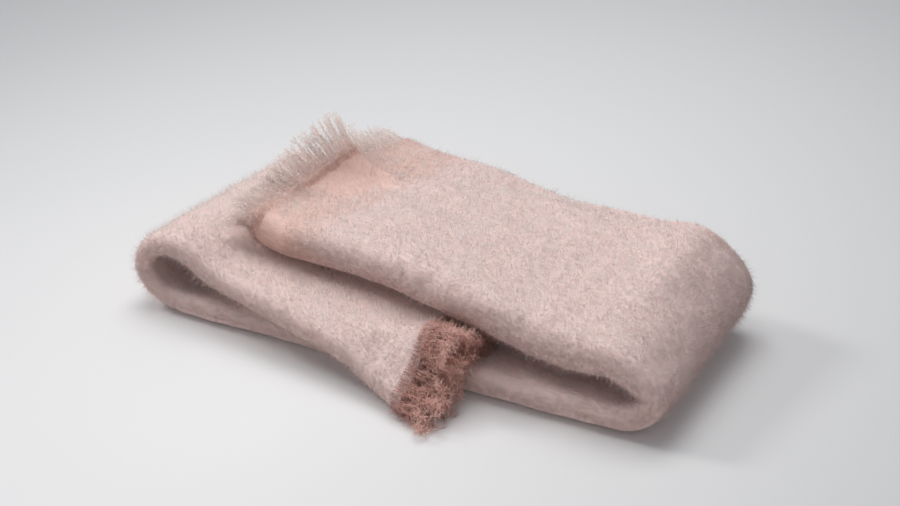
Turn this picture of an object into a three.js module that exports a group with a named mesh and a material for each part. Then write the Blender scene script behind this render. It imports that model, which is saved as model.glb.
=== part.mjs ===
// Folded mohair throw: one cloth folded lengthwise to four plies, then in three,
// with a knotless yarn fringe along each of its two short ends.
// Millimetres, +Z up. The long side runs along X, the rounded closed edge faces -Y.
import * as THREE from "three";

// The cloth laid flat
const CLOTH_WIDTH = 1300;
const PLIES = 4;

// Thickness of one ply with its pressed pile, as a share of the distance between plies
const PLY_SHARE = 0.6;

// Middle line of the four-ply band, from the fringed end of the top flap to the
// fringed end of the lower flap. turn and roll are degrees, pitch is the distance
// between plies, hang is how far the front sinks past the bottom layer's edge.
const FOLDS = [
  { x: 50, y: 96, z: 114, turn: -10, roll: -1, pitch: 14, hang: 0 },
  { x: 120, y: 92, z: 115, turn: -10, roll: -1, pitch: 15, hang: 0 },
  { x: 215, y: 84, z: 115, turn: -9, roll: -1, pitch: 15.5, hang: 0 },
  { x: 320, y: 58, z: 113, turn: -8, roll: -1, pitch: 15.8, hang: 0 },
  { x: 430, y: 31, z: 108.5, turn: -6, roll: 1, pitch: 16.5, hang: 0 },
  { x: 545, y: 8, z: 105.5, turn: -2, roll: 4.5, pitch: 17.5, hang: 0 },
  { x: 624, y: -4, z: 113, turn: 0, roll: 6.2, pitch: 14.5, hang: 0 },
  { x: 679, y: -8, z: 70, turn: 0, roll: 3, pitch: 10.5, hang: 0 },
  { x: 650, y: -10, z: 25, turn: 0, roll: 0, pitch: 10.5, hang: 0 },
  { x: 570, y: -8, z: 19.8, turn: 0, roll: 0, pitch: 11, hang: 0 },
  { x: 430, y: -4, z: 19.8, turn: 0, roll: 0, pitch: 11, hang: 0 },
  { x: 260, y: 0, z: 19.8, turn: 0, roll: 0, pitch: 11, hang: 0 },
  { x: 100, y: 6, z: 19.8, turn: -1, roll: 0, pitch: 11, hang: 0 },
  { x: -66, y: 13, z: 18.6, turn: -5, roll: 0, pitch: 9.4, hang: 0 },
  { x: -111, y: 17, z: 45, turn: -9, roll: 0, pitch: 8.2, hang: 0 },
  { x: -105, y: 20, z: 90, turn: -10, roll: 1.5, pitch: 8.5, hang: 0 },
  { x: -56, y: 19, z: 108, turn: -10, roll: 1.5, pitch: 10.5, hang: 6 },
  { x: 30, y: 3, z: 80, turn: -10, roll: 1, pitch: 10.5, hang: 24 },
  { x: 140, y: -22, z: 64, turn: -9, roll: 0, pitch: 9.8, hang: 26 },
  { x: 255, y: -48, z: 60, turn: -6, roll: 0, pitch: 9.6, hang: 30 },
  { x: 325, y: -74, z: 59.2, turn: -4, roll: 0, pitch: 9.2, hang: 38 },
  { x: 364, y: -94, z: 59.2, turn: -2, roll: 0, pitch: 9.2, hang: 42 },
];
const COLUMNS = ["x", "y", "z", "turn", "roll", "pitch", "hang"];
const STEPS_PER_FOLD = 40;

// Where the lower flap leaves the top of the bottom layer and sinks to the floor
const HANG_FROM_Y = -156;
const HANG_RUN = 100;

// The top ply's free edge lies in from the band's rear edge, most at the fringed end
const TOP_EDGE_SETBACK = 142;
const TOP_EDGE_SETBACK_FAR = 10;
const SETBACK_RUN = 460;

// The fringed end of the top flap turns up: where it starts, and its angle from the
// front (0) to the top ply's free edge (1)
const TURN_UP_AT_FRONT = 62;
const TURN_UP_AT_REAR = 112;
const TURN_UP = [
  { across: -0.1, angle: 31 },
  { across: 0, angle: 32 },
  { across: 0.18, angle: 37 },
  { across: 0.4, angle: 52 },
  { across: 0.52, angle: 45 },
  { across: 0.66, angle: 51 },
  { across: 0.85, angle: 57 },
  { across: 1, angle: 54 },
  { across: 1.3, angle: 26 },
  { across: 1.7, angle: 14 },
];
// The plies below turn up only this much, to clear the left fold
const TURN_UP_BELOW = 30;

// The lower flap's end: the top ply's edge stands up in a small lip beside the top flap
const LIP = { height: 13, run: 45, middle: -76, spread: 28 };

// Grid of the cloth: rows along it, as stretches of its length, and columns across it,
// closer together towards the front edge
const ROWS = [
  { upTo: 100, rows: 5 },
  { upTo: 560, rows: 8 },
  { upTo: 760, rows: 10 },
  { upTo: 1395, rows: 7 },
  { upTo: 1600, rows: 11 },
  { upTo: Infinity, rows: 9 },
];
const PLY_COLUMNS = 8;
const FRONT_CROWDING = 1.4;
const OUTER_BEND_COLUMNS = 6;
const INNER_BEND_COLUMNS = 3;

// Fringe: locks of yarn on a narrow woven strip, a little off the cloth's end
const LOCKS_PER_END = 100;
const LOCK_WIDTH = 2.4;
const LOCK_SWELL = 1.35;
const STRIP_GAP = 1.9;
const STRIP_DEPTH = 4;
const STRIP_THICKNESS = 2.6;
const UPPER_FRINGE_LENGTH = 60;
const LOWER_FRINGE_LENGTH = 58;
// The locks' tips draw together towards the band's middle, by this much a ply
const LOCK_GATHER = 4.5;

const COLOURS = { cloth: 0xe3c9c1, fringe: 0xdcb8ae };

const radians = (degrees) => (degrees * Math.PI) / 180;

function smooth(x) {
  const c = Math.min(Math.max(x, 0), 1);
  return c * c * (3 - 2 * c);
}

function tableValue(rows, key, column, at) {
  if (at <= rows[0][key]) return rows[0][column];
  for (let i = 1; i < rows.length; i++) {
    if (at <= rows[i][key]) {
      const f = (at - rows[i - 1][key]) / (rows[i][key] - rows[i - 1][key]);
      return rows[i - 1][column] + f * (rows[i][column] - rows[i - 1][column]);
    }
  }
  return rows[rows.length - 1][column];
}

// Even pseudo-random numbers between -1 and 1, the same in every run
function scatter(n) {
  const s = Math.sin(n * 127.1 + 311.7) * 43758.5453;
  return 2 * (s - Math.floor(s)) - 1;
}

// Smooth curve through the rows of FOLDS, with the distance along it
function traceBand() {
  const last = FOLDS.length - 1;
  const at = (i, c) => {
    if (i < 0) return 2 * FOLDS[0][c] - FOLDS[1][c];
    if (i > last) return 2 * FOLDS[last][c] - FOLDS[last - 1][c];
    return FOLDS[i][c];
  };
  const trace = [];
  for (let i = 0; i < last; i++) {
    const stop = i === last - 1 ? STEPS_PER_FOLD : STEPS_PER_FOLD - 1;
    for (let k = 0; k <= stop; k++) {
      const t = k / STEPS_PER_FOLD;
      const point = {};
      for (const c of COLUMNS) {
        const [a, b, d, e] = [at(i - 1, c), at(i, c), at(i + 1, c), at(i + 2, c)];
        point[c] = 0.5 * (2 * b + (d - a) * t + (2 * a - 5 * b + 4 * d - e) * t * t
          + (3 * b - a - 3 * d + e) * t * t * t);
      }
      const prev = trace[trace.length - 1];
      point.along = prev
        ? prev.along + Math.hypot(point.x - prev.x, point.y - prev.y, point.z - prev.z)
        : 0;
      trace.push(point);
    }
  }
  return trace;
}

const TRACE = traceBand();
const BAND_LENGTH = TRACE[TRACE.length - 1].along;

function bandAt(along) {
  let lo = 0;
  let hi = TRACE.length - 1;
  while (hi - lo > 1) {
    const mid = (lo + hi) >> 1;
    if (TRACE[mid].along <= along) lo = mid;
    else hi = mid;
  }
  const f = (along - TRACE[lo].along) / (TRACE[hi].along - TRACE[lo].along);
  const point = {};
  for (const c of COLUMNS) {
    const g = c === "x" || c === "y" || c === "z" ? f : Math.min(Math.max(f, 0), 1);
    point[c] = TRACE[lo][c] + g * (TRACE[hi][c] - TRACE[lo][c]);
  }
  return point;
}

// Middle surface of the band
function middle(along, across) {
  const b = bandAt(along);
  const [turn, roll] = [radians(b.turn), radians(b.roll)];
  const side = new THREE.Vector3(
    -Math.sin(turn) * Math.cos(roll),
    Math.cos(turn) * Math.cos(roll),
    Math.sin(roll),
  );
  const p = new THREE.Vector3(b.x, b.y, b.z).addScaledVector(side, across);
  p.z -= b.hang * smooth((HANG_FROM_Y - p.y) / HANG_RUN);
  return p;
}

function frameAt(along, across) {
  const step = 3;
  const forward = middle(along + step, across).sub(middle(along - step, across)).normalize();
  const sideways = middle(along, across + step).sub(middle(along, across - step));
  const outward = new THREE.Vector3().crossVectors(forward, sideways).normalize();
  return { point: middle(along, across), forward, outward };
}

function setback(along) {
  const near = 1 - smooth(along / SETBACK_RUN);
  return TOP_EDGE_SETBACK_FAR + (TOP_EDGE_SETBACK - TOP_EDGE_SETBACK_FAR) * near;
}

function plyWidth(along, pitch) {
  const bends = Math.PI * (1.5 + 0.5 + 0.5) * pitch;
  return (CLOTH_WIDTH + setback(along) - bends) / PLIES;
}

// One section through the four plies, from the top ply's free edge round the front
// bends to the second ply's free edge: distance across and height in plies
function section(along) {
  const { pitch } = bandAt(along);
  const half = plyWidth(along, pitch) / 2;
  const line = [];
  const ply = (from, to, level, last = false) => {
    for (let i = 0; i < PLY_COLUMNS + (last ? 1 : 0); i++) {
      const share = i / PLY_COLUMNS;
      const f = to > from ? share ** FRONT_CROWDING : 1 - (1 - share) ** FRONT_CROWDING;
      line.push({ across: from + (to - from) * f, level });
    }
  };
  const bend = (edge, way, middleLevel, radius, turnWay, columns) => {
    for (let i = 0; i < columns; i++) {
      const a = (Math.PI * i) / columns;
      line.push({
        across: edge + way * radius * pitch * Math.sin(a),
        level: middleLevel + turnWay * radius * Math.cos(a),
      });
    }
  };
  ply(half - setback(along), -half, 1.5);
  bend(-half, -1, 0, 1.5, 1, OUTER_BEND_COLUMNS);
  ply(-half, half, -1.5);
  bend(half, 1, -1, 0.5, -1, INNER_BEND_COLUMNS);
  ply(half, -half, -0.5);
  bend(-half, -1, 0, 0.5, -1, INNER_BEND_COLUMNS);
  ply(-half, half, 0.5, true);
  return line;
}

function turnUpAngle(along, across, level) {
  const width = plyWidth(along, bandAt(along).pitch);
  const share = (across + width / 2) / (width - TOP_EDGE_SETBACK);
  const top = tableValue(TURN_UP, "across", "angle", share);
  const below = Math.min(TURN_UP_BELOW, top);
  return below + (top - below) * smooth((level + 1.5) / 3) ** 1.6;
}

// A point of the folded cloth's middle surface
function place(along, across, level) {
  const rear = smooth((across + 150) / 230);
  const start = TURN_UP_AT_FRONT + (TURN_UP_AT_REAR - TURN_UP_AT_FRONT) * rear;
  const reach = Math.max(start - along, 0);
  const from = Math.max(along, start);
  const { point, forward, outward } = frameAt(from, across);
  point.addScaledVector(outward, level * bandAt(along).pitch);
  if (reach > 0) {
    const curve = radians(turnUpAngle(along, across, level) || 0.01) / start;
    point.addScaledVector(forward, -Math.sin(curve * reach) / curve);
    point.addScaledVector(outward, (1 - Math.cos(curve * reach)) / curve);
  }
  const lip = LIP.height * smooth((along - (BAND_LENGTH - LIP.run)) / LIP.run)
    * smooth((level + 0.5) / 2) * Math.exp(-(((across - LIP.middle) / LIP.spread) ** 2));
  return point.addScaledVector(outward, lip);
}

function rowPositions() {
  const list = [0];
  for (const { upTo, rows } of ROWS) {
    const from = list[list.length - 1];
    const to = Math.min(upTo, BAND_LENGTH);
    for (let i = 1; i <= rows; i++) list.push(from + ((to - from) * i) / rows);
  }
  return list;
}

// Grid of middle-surface points with their outward directions and half thickness
function sheetGrid() {
  const alongs = rowPositions();
  const sections = alongs.map((a) => section(a));
  const points = alongs.map((a, i) => sections[i].map((s) => place(a, s.across, s.level)));
  const pick = (i, j) => points[Math.min(Math.max(i, 0), points.length - 1)][
    Math.min(Math.max(j, 0), points[0].length - 1)];
  return points.map((row, i) => row.map((point, j) => {
    const forward = pick(i + 1, j).clone().sub(pick(i - 1, j)).normalize();
    const sideways = pick(i, j + 1).clone().sub(pick(i, j - 1)).normalize();
    const out = new THREE.Vector3().crossVectors(sideways, forward).normalize();
    const half = (bandAt(alongs[i]).pitch * PLY_SHARE) / 2;
    return { point, out, forward, sideways, half, level: sections[i][j].level };
  }));
}

class Shell {
  constructor() {
    this.xyz = [];
    this.faces = [];
  }

  add(v) {
    this.xyz.push(v.x, v.y, Math.max(v.z, 0));
    return this.xyz.length / 3 - 1;
  }

  quad(a, b, c, d) {
    this.faces.push(a, b, c, a, c, d);
  }

  tri(a, b, c) {
    this.faces.push(a, b, c);
  }

  mesh(name, colour) {
    const geometry = new THREE.BufferGeometry();
    geometry.setAttribute("position", new THREE.Float32BufferAttribute(this.xyz, 3));
    geometry.setIndex(this.faces);
    geometry.computeVertexNormals();
    const material = new THREE.MeshStandardMaterial({ color: colour, roughness: 0.95 });
    material.name = name;
    const mesh = new THREE.Mesh(geometry, material);
    mesh.name = name;
    return mesh;
  }
}

function makeCloth(grid) {
  const shell = new Shell();
  const side = (sign) => grid.map((row) => row.map(({ point, out, half }) => (
    shell.add(point.clone().addScaledVector(out, sign * half)))));
  const upper = side(1);
  const lower = side(-1);
  const [rows, columns] = [grid.length - 1, grid[0].length - 1];
  for (let i = 0; i < rows; i++) {
    for (let j = 0; j < columns; j++) {
      shell.quad(upper[i][j], upper[i][j + 1], upper[i + 1][j + 1], upper[i + 1][j]);
      shell.quad(lower[i][j], lower[i + 1][j], lower[i + 1][j + 1], lower[i][j + 1]);
    }
    shell.quad(upper[i][0], upper[i + 1][0], lower[i + 1][0], lower[i][0]);
    shell.quad(upper[i + 1][columns], upper[i][columns], lower[i][columns], lower[i + 1][columns]);
  }
  for (let j = 0; j < columns; j++) {
    shell.quad(upper[0][j + 1], upper[0][j], lower[0][j], lower[0][j + 1]);
    shell.quad(upper[rows][j], upper[rows][j + 1], lower[rows][j + 1], lower[rows][j]);
  }
  return shell.mesh("throw_cloth", COLOURS.cloth);
}

// The end edge of the cloth as a line that can be walked by distance
function endEdge(row, outwardSign) {
  const marks = [{ at: 0, ...row[0] }];
  for (let j = 1; j < row.length; j++) {
    marks.push({ at: marks[j - 1].at + row[j].point.distanceTo(row[j - 1].point), ...row[j] });
  }
  const length = marks[marks.length - 1].at;
  return {
    length,
    at(distance) {
      let j = 0;
      while (j < marks.length - 2 && marks[j + 1].at < distance) j++;
      const f = (distance - marks[j].at) / (marks[j + 1].at - marks[j].at);
      const mix = (key) => marks[j][key].clone().lerp(marks[j + 1][key], f);
      const out = mix("out").normalize();
      const edge = mix("sideways").normalize();
      const away = new THREE.Vector3().crossVectors(edge, out).normalize();
      if (away.dot(marks[j].forward) * outwardSign < 0) away.negate();
      const level = marks[j].level + f * (marks[j + 1].level - marks[j].level);
      return { point: mix("point"), out, edge, away, level };
    },
  };
}

function makeFringe(name, row, outwardSign, lockLength, seed) {
  const shell = new Shell();
  const edge = endEdge(row, outwardSign);
  const margin = 3;
  const spacing = (edge.length - 2 * margin - LOCK_WIDTH) / (LOCKS_PER_END - 1);
  const stations = [];
  for (let k = 0; k < LOCKS_PER_END; k++) {
    for (const offset of [0, LOCK_WIDTH]) {
      const place0 = edge.at(margin + k * spacing + offset);
      const corner = (away, out) => shell.add(place0.point.clone()
        .addScaledVector(place0.away, away).addScaledVector(place0.out, out));
      stations.push({
        ...place0,
        nearUp: corner(STRIP_GAP, STRIP_THICKNESS / 2),
        nearDown: corner(STRIP_GAP, -STRIP_THICKNESS / 2),
        farUp: corner(STRIP_GAP + STRIP_DEPTH, STRIP_THICKNESS / 2),
        farDown: corner(STRIP_GAP + STRIP_DEPTH, -STRIP_THICKNESS / 2),
      });
    }
  }
  const flip = outwardSign > 0;
  const quad = (a, b, c, d) => (flip ? shell.quad(d, c, b, a) : shell.quad(a, b, c, d));
  const tri = (a, b, c) => (flip ? shell.tri(c, b, a) : shell.tri(a, b, c));
  for (let s = 0; s < stations.length - 1; s++) {
    const [p, q] = [stations[s], stations[s + 1]];
    quad(p.nearUp, p.farUp, q.farUp, q.nearUp);
    quad(p.nearDown, q.nearDown, q.farDown, p.farDown);
    quad(p.nearUp, q.nearUp, q.nearDown, p.nearDown);
    if (s % 2 === 1) quad(p.farUp, p.farDown, q.farDown, q.farUp);
  }
  const [first, last] = [stations[0], stations[stations.length - 1]];
  quad(first.nearUp, first.nearDown, first.farDown, first.farUp);
  quad(last.nearUp, last.farUp, last.farDown, last.nearDown);
  for (let k = 0; k < LOCKS_PER_END; k++) {
    const [p, q] = [stations[2 * k], stations[2 * k + 1]];
    const root = p.point.clone().lerp(q.point, 0.5)
      .addScaledVector(p.away, STRIP_GAP + STRIP_DEPTH);
    const lean = 0.1 * scatter(seed + k);
    const rise = 0.04 * scatter(seed + 500 + k);
    const length = lockLength * (0.93 + 0.07 * scatter(seed + 900 + k));
    const lowest = (STRIP_THICKNESS * LOCK_SWELL) / 2 + 0.2;
    const centreAt = (share) => {
      const c = root.clone().addScaledVector(p.away, length * share)
        .addScaledVector(p.edge, length * lean * share * share)
        .addScaledVector(p.out, length * rise * share * share);
      c.z = Math.max(c.z - LOCK_GATHER * p.level * share * share, lowest);
      return c;
    };
    let ring = [p.farUp, p.farDown, q.farDown, q.farUp];
    for (const [share, swell] of [[0.34, LOCK_SWELL], [0.7, 1]]) {
      const centre = centreAt(share);
      const corner = (e, o) => shell.add(centre.clone()
        .addScaledVector(p.edge, (e * LOCK_WIDTH * swell) / 2)
        .addScaledVector(p.out, (o * STRIP_THICKNESS * swell) / 2));
      const next = [corner(-1, 1), corner(-1, -1), corner(1, -1), corner(1, 1)];
      for (let c = 0; c < 4; c++) {
        const d = (c + 1) % 4;
        quad(ring[c], ring[d], next[d], next[c]);
      }
      ring = next;
    }
    const tip = shell.add(centreAt(1));
    for (let c = 0; c < 4; c++) tri(ring[c], ring[(c + 1) % 4], tip);
  }
  return shell.mesh(name, COLOURS.fringe);
}

// Stands the whole on the floor with its middle over the origin
function settle(group) {
  const box = new THREE.Box3().setFromObject(group);
  const shift = new THREE.Vector3(
    -(box.min.x + box.max.x) / 2,
    -(box.min.y + box.max.y) / 2,
    -box.min.z,
  );
  for (const mesh of group.children) mesh.geometry.translate(shift.x, shift.y, shift.z);
  return group;
}

const grid = sheetGrid();
const throwPart = new THREE.Group();
throwPart.name = "folded_throw";
throwPart.add(makeCloth(grid));
throwPart.add(makeFringe("fringe_upper", grid[0], -1, UPPER_FRINGE_LENGTH, 23));
throwPart.add(makeFringe("fringe_lower", grid[grid.length - 1], 1, LOWER_FRINGE_LENGTH, 47));

export default settle(throwPart);
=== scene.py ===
"""Folded mohair throw, dressed over its solids: the cloth as one thin folded sheet, its brushed
pile as fine hairs, and the yarn fringe at both ends. Metres, +Z up, in the frame of the solids."""

import math

import bmesh
import bpy
import numpy as np
from mathutils import Matrix, Vector
from mathutils.bvhtree import BVHTree


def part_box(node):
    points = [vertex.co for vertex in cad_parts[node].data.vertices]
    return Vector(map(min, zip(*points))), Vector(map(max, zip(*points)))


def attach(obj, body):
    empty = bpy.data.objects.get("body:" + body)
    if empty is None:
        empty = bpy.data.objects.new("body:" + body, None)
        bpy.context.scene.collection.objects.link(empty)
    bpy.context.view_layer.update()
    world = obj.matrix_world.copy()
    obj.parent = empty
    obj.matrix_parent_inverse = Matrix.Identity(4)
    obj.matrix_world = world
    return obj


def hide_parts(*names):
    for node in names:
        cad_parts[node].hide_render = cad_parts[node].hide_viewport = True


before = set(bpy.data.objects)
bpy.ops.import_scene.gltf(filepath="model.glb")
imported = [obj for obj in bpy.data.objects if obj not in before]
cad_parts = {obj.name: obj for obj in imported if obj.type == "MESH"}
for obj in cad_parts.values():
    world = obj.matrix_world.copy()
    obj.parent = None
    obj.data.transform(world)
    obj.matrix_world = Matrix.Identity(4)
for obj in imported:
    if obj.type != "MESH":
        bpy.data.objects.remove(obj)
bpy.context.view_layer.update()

# The cloth laid flat
CLOTH_WIDTH = 1.3
PLIES = 4

# Thickness of one ply, as a share of the distance between plies
PLY_SHARE = 0.6
# A ply thins over this run towards its rims, where its thickness squared is less by this share
RIM_RUN, RIM_THINNING = 0.0045, 0.88
# Radii of the outer bend and of the two inner ones, in distances between plies
OUTER_BEND, INNER_BEND = 1.5, 0.5

# Middle line of the four-ply band, from the fringed end of the top flap to the fringed end of
# the lower flap: the rows of the solid's own folds. turn and roll are degrees.
FOLD_COLUMNS = ("x", "y", "z", "turn", "roll", "pitch", "hang")
FOLDS = (
    (0.050, 0.096, 0.1140, -10, -1, 0.0140, 0),
    (0.120, 0.092, 0.1150, -10, -1, 0.0150, 0),
    (0.215, 0.084, 0.1150, -9, -1, 0.0155, 0),
    (0.320, 0.058, 0.1130, -8, -1, 0.0158, 0),
    (0.430, 0.031, 0.1085, -6, 1, 0.0165, 0),
    (0.545, 0.008, 0.1055, -2, 4.5, 0.0175, 0),
    (0.624, -0.004, 0.1130, 0, 6.2, 0.0145, 0),
    (0.679, -0.008, 0.0700, 0, 3, 0.0105, 0),
    (0.650, -0.010, 0.0250, 0, 0, 0.0105, 0),
    (0.570, -0.008, 0.0198, 0, 0, 0.0110, 0),
    (0.430, -0.004, 0.0198, 0, 0, 0.0110, 0),
    (0.260, 0.000, 0.0198, 0, 0, 0.0110, 0),
    (0.100, 0.006, 0.0198, -1, 0, 0.0110, 0),
    (-0.066, 0.013, 0.0186, -5, 0, 0.0094, 0),
    (-0.111, 0.017, 0.0450, -9, 0, 0.0082, 0),
    (-0.105, 0.020, 0.0900, -10, 1.5, 0.0085, 0),
    (-0.056, 0.019, 0.1080, -10, 1.5, 0.0105, 0.006),
    (0.030, 0.003, 0.0800, -10, 1, 0.0105, 0.024),
    (0.140, -0.022, 0.0640, -9, 0, 0.0098, 0.026),
    (0.255, -0.048, 0.0600, -6, 0, 0.0096, 0.030),
    (0.325, -0.074, 0.0592, -4, 0, 0.0092, 0.038),
    (0.364, -0.094, 0.0592, -2, 0, 0.0092, 0.042),
)
STEPS_PER_FOLD = 40
# Half the distance between the points that a direction is taken from
NEARBY = 0.003
# The band hangs in front of this y, by the last column of FOLDS once the run is over
HANG_FROM_Y, HANG_RUN = -0.156, 0.100
# How far the top ply's free edge stops short of the ply below, at the top flap's end and once
# the run is over, where it is a little less than in the solid
TOP_EDGE_SETBACK, TOP_EDGE_SETBACK_FAR, SETBACK_RUN = 0.142, 0.004, 0.460

# The fringed end of the top flap turns up: how far from the end it starts at the front and at
# the rear, and where across the band the one passes into the other
TURN_UP_AT_FRONT, TURN_UP_AT_REAR = 0.062, 0.112
TURN_UP_REAR_FROM, TURN_UP_REAR_RUN = -0.150, 0.230
# Its angle in degrees, from the front (0) to the top ply's free edge (1)
TURN_UP = (
    (-0.1, 31),
    (0.0, 32),
    (0.18, 37),
    (0.4, 52),
    (0.52, 45),
    (0.66, 51),
    (0.85, 57),
    (1.0, 54),
    (1.3, 26),
    (1.7, 14),
)
# The lowest ply's angle, and how slowly the angle grows from ply to ply above it
TURN_UP_BELOW, TURN_UP_EASE = 30, 1.6

# The lower flap's end rises in a lip, higher and narrower than the solid's: its height, its run
# along the band, and its middle and spread across it
LIP_HEIGHT, LIP_RUN, LIP_MIDDLE, LIP_SPREAD = 0.019, 0.040, -0.072, 0.023

# Main creases of the parts that show, placed where the throw has them: the middle of
# each along and across the band, the degrees it is turned from the band's length, half its
# length and width, and its height, which is below zero for a trough
CREASE_COLUMNS = ("along", "across", "turn", "reach", "spread", "height")
CREASES = (
    (0.128, -0.002, -4, 0.062, 0.016, -0.0042),
    (0.215, -0.012, 8, 0.060, 0.026, -0.0026),
    (0.085, -0.112, 4, 0.065, 0.030, 0.0036),
    (0.150, 0.052, -6, 0.070, 0.022, 0.0030),
    (0.300, 0.100, 3, 0.110, 0.028, 0.0032),
    (0.345, -0.098, 24, 0.060, 0.018, -0.0022),
    (0.310, -0.170, 68, 0.026, 0.011, -0.0050),
    (0.395, -0.150, -12, 0.050, 0.016, 0.0026),
    (0.455, -0.165, 74, 0.030, 0.013, -0.0034),
    (0.470, 0.020, 62, 0.085, 0.026, -0.0024),
    (0.540, -0.135, -28, 0.055, 0.016, -0.0028),
    (0.585, -0.060, 82, 0.095, 0.022, -0.0034),
    (0.600, 0.095, 96, 0.075, 0.018, -0.0028),
    (0.655, -0.120, 70, 0.060, 0.016, 0.0030),
    (0.700, 0.030, 88, 0.110, 0.020, -0.0026),
    (0.735, -0.110, 100, 0.060, 0.014, -0.0024),
    (1.575, -0.120, 84, 0.060, 0.016, -0.0022),
    (1.640, -0.060, 12, 0.070, 0.022, 0.0028),
    (1.705, -0.135, -8, 0.060, 0.018, -0.0026),
    (1.790, -0.095, 4, 0.080, 0.016, -0.0028),
    (1.830, -0.140, -3, 0.090, 0.018, 0.0030),
    (1.905, -0.100, 38, 0.050, 0.016, -0.0030),
    (1.965, -0.128, 76, 0.045, 0.012, -0.0034),
)
# Each crease is bowed sideways by this share of its reach
CREASE_BOW = 0.16

# Small lumps of both faces: height, width and seed
LUMPS = ((0.0006, 0.014, 3), (0.0010, 0.035, 4))

# The top ply's free edge sinks towards the ply below by this much, over this run in from the
# edge, from this distance along the band
EDGE_SINK, EDGE_SINK_RUN, EDGE_SINK_FROM = 0.0046, 0.034, 0.09

# Grid of the fine sheet: rows along it, as stretches that end at a distance along the band or at
# its own end, and columns across it
ROWS = (
    (0.010, 4),
    (0.110, 15),
    (0.560, 50),
    (0.760, 36),
    (1.395, 44),
    (1.600, 34),
    (1.975, 40),
    (9.000, 5),
)
TOP_PLY_COLUMNS = 46
INSIDE_PLY_COLUMNS = 24
HIDDEN_PLY_COLUMNS = 10
OUTER_BEND_COLUMNS = 14
INNER_BEND_COLUMNS = 5
# Columns next to the free edges, as shares of their ply
RIM_SHARES = (0.0, 0.005, 0.014)

# Fringe: yarns left long at both ends
YARNS_PER_END = 280
YARN_JITTER = 0.0005
YARN_RADIUS = 0.0008
YARN_STEPS = 8
YARN_LENGTHS = (0.86, 1.04)
# Bunches of yarns lean, rise and are longer together: how much, the width of a bunch, and how
# far one yarn differs from its bunch
LEAN_BUNCH, LEAN_SPREAD = 0.060, 0.05
RISE, RISE_BUNCH, YARN_RISE_SPREAD = 0.10, 0.05, 0.04
LONGER, LONGER_BUNCH = 0.08, 0.03
STRANDS = 5
STRAND_WIDTH = 0.00065
# Radians that the strands turn round their yarn, and how far yarns differ in that
TWIST, TWIST_SPREAD = 5.0, 1.5
# Degrees that the yarns' short hairs differ by
STAND_OFF_SPREAD = 16
# The yarns start this far in from the rim, laid on the cloth, and come down to the middle of
# the ply over the second distance past it
YARN_OVERLAP, YARN_COMES_DOWN = 0.016, 0.010
# Their height at the rim, as a share of the ply's half thickness, and how far they clear the
# cloth that they are laid on
YARN_AT_RIM, YARN_CLEAR = 0.35, 0.0004
# How far the tips draw together, for each ply that a yarn starts above or below the middle
YARN_GATHER = 0.0045
# Lowest that each goes, to stay above the floor
LOWEST_HAIR, LOWEST_YARN, LOWEST_STRAND, LOWEST_FRIZZ = 0.0004, 0.0016, 0.0003, 0.0002
# The way that a loose bundle of yarns mostly faces, which its normals lean towards
YARNS_FACE = (-0.55, 0.0, 0.90)
# crowd is how many more yarns the top ply has than the others; fan is how far they lean towards
# the front, and reach their length as a share of the longest, at distances across the band.
# frizz is how far the yarns wave. The rows after it are for their short hairs: how many a yarn
# has, how long and wide they are, the degrees that they stand off it, and how much they curl.
UPPER_FRINGE = {
    "seed": 11,
    "length": 0.060,
    "reach": ((-0.18, 0.66), (-0.11, 0.74), (-0.04, 1.0), (0.01, 1.0), (0.04, 0.8), (0.17, 0.8)),
    "lean": 0.12,
    "crowd": 1.6,
    "fan": ((-0.18, 0.45), (-0.12, 0.18), (-0.06, -0.05), (-0.01, -0.10), (0.03, -0.45), (0.17, 0)),
    "frizz": 0.0014,
    "hairs": 165,
    "hair": 0.0085,
    "hair_width": 0.00034,
    "lift": 38,
    "curl": 0.45,
}
LOWER_FRINGE = {
    "seed": 47,
    "length": 0.062,
    "reach": ((-0.17, 1.0), (0.17, 1.0)),
    "lean": 0.25,
    "crowd": 0.3,
    "fan": ((-0.17, 0.12), (0.0, 0.0), (0.17, 0.0)),
    "frizz": 0.0060,
    "hairs": 135,
    "hair": 0.0125,
    "hair_width": 0.00060,
    "lift": 50,
    "curl": 0.9,
}

# Pile: short brushed hairs, longer ones that curl over in locks, and loose single ones. rise is
# in degrees and stray in radians.
SHORT_HAIRS = 186_000
CURLED_HAIRS = 44_000
LOOSE_HAIRS = 115_000
SHORT_HAIR = {"length": 0.0042, "width": 0.00066, "rise": 34, "stray": 0.8, "kinks": 1}
CURLED_HAIR = {"length": 0.0070, "width": 0.00048, "rise": 38, "stray": 0.8, "kinks": 2}
LOOSE_HAIR = {"length": 0.0118, "width": 0.00038, "rise": 60, "stray": 0.9, "kinks": 0}
HAIR_LENGTHS, HAIR_WIDTHS = (0.6, 1.35), (0.7, 1.3)
# Degrees that the rise differs by, and that each next part of a curled hair bends down
RISE_SPREAD, HAIR_DROP = 11, 34
# Radians that a hair differs by in its roll and in the lift of each part
ROLL_SPREAD, LIFT_SPREAD = 0.55, 0.12
# Noise over the flat cloth that turns the hairs in swirls: radians, width and seed
SWIRLS = ((1.3, 0.028, 31), (1.7, 0.0055, 32))
# Locks that curl one way: radians, spread, width and seed
CURL, CURL_SPREAD, CURL_WIDTH, CURL_SEED = 0.9, 0.5, 0.012, 34
# Clumps of longer, paler hairs: how much longer, width and seed
CLUMP_LONGER, CLUMP_WIDTH, CLUMP_SEED = 0.22, 0.0045, 33

# Where pile grows: fully where a face's openness, times this, reaches 1, and then more on steep
# faces, less at the bare end, and more again along that end's rim
OPENNESS_GAIN = 2.4
MORE_ON_STEEP, LESS_WHERE_BARE, MORE_AT_RIM, END_RIM = 0.6, 0.72, 1.2, 0.012
# Openness is felt by this many feelers of this reach, which start off the face and lean outwards
FEELERS, FEELER_REACH, FEELER_START, FEELERS_LEAN = 9, 0.05, 0.0008, 1.15

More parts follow.
